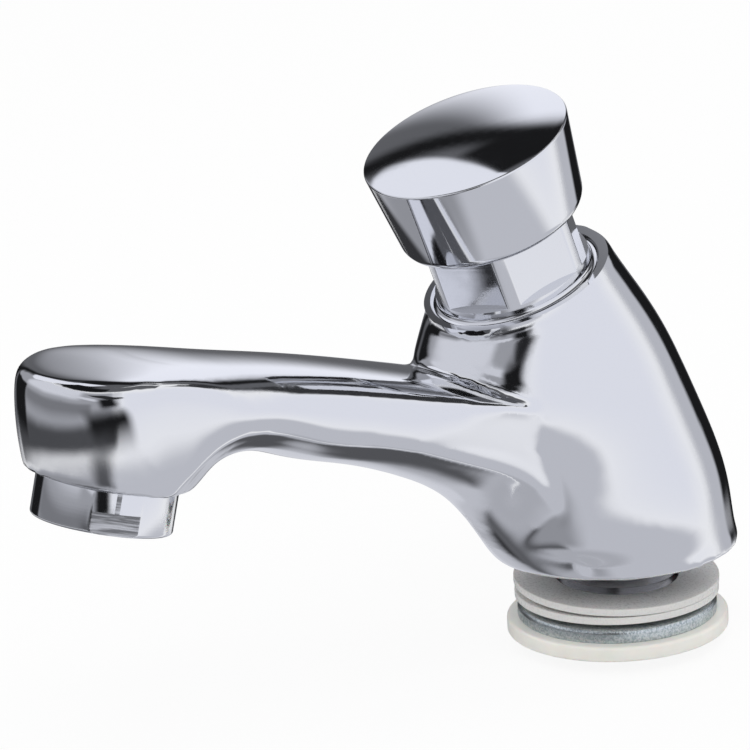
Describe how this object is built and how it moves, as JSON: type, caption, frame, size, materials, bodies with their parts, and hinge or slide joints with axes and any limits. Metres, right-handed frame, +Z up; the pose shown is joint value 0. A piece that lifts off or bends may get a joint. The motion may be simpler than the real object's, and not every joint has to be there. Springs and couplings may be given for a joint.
{
  "type": "push timed tap",
  "caption": "Deck-mounted push tap: a leaning valve under a sprung cap opens a timing cartridge and lets water run along a cast spout to an aerator.",
  "frame": {"origin": "centre of the cast body's underside, on the axis of the threaded inlet shank, where it meets the deck", "axes": "+Z up from the deck, -Y along the spout towards the outlet, +X to the right of the spout as seen from the front of the basin looking back"},
  "size_m": [0.045, 0.139, 0.1007],
  "materials": {
    "cast_chrome": "polished chrome on a cast brass body",
    "neck_chrome": "polished chrome on turned brass",
    "cap_chrome": "polished chrome on a cast cap",
    "aerator_chrome": "polished chrome with milled flats",
    "turned_steel": "turned and threaded metal",
    "bright_steel": "bright stainless steel",
    "zinc_steel": "zinc plated steel, bluish",
    "brass_parts": "turned brass",
    "black_rubber": "black rubber",
    "white_washer": "matt off-white plastic",
    "natural_plastic": "translucent natural plastic",
    "grey_plastic": "moulded acetal"
  },
  "bodies": {
    "tap": {"body": "cast_chrome", "inlet_shank": "turned_steel", "shank_seal": "black_rubber", "inlet_strainer": "grey_plastic", "deck_gasket": "white_washer", "clamp_washer": "white_washer", "steel_washer": "zinc_steel", "flange_nut": "natural_plastic", "gland_seal": "black_rubber", "gland_nut": "neck_chrome", "stem_o_ring": "black_rubber", "cartridge_sleeve": "grey_plastic", "sleeve_o_ring": "black_rubber", "valve_seat": "brass_parts", "seat_o_ring": "black_rubber", "return_spring": "bright_steel", "aerator_housing": "aerator_chrome", "aerator_washer": "black_rubber", "flow_regulator": "grey_plastic", "air_mixer": "grey_plastic", "aerator_screen": "bright_steel"},
    "plunger": {"push_cap": "cap_chrome", "cap_bush": "grey_plastic", "stem_lock_nut": "brass_parts", "stem": "bright_steel", "stem_clip": "bright_steel", "piston": "grey_plastic", "piston_lip_seal": "black_rubber", "valve_washer": "black_rubber", "valve_disc": "brass_parts"}
  },
  "joints": [
    {"name": "press", "type": "slide", "parent": "tap", "child": "plunger", "axis": [0, 0.342, -0.9397], "range_m": [0, 0.0065], "stiffness_N_per_m": 900, "springref_m": -0.006, "deforming": ["return_spring"]}
  ]
}
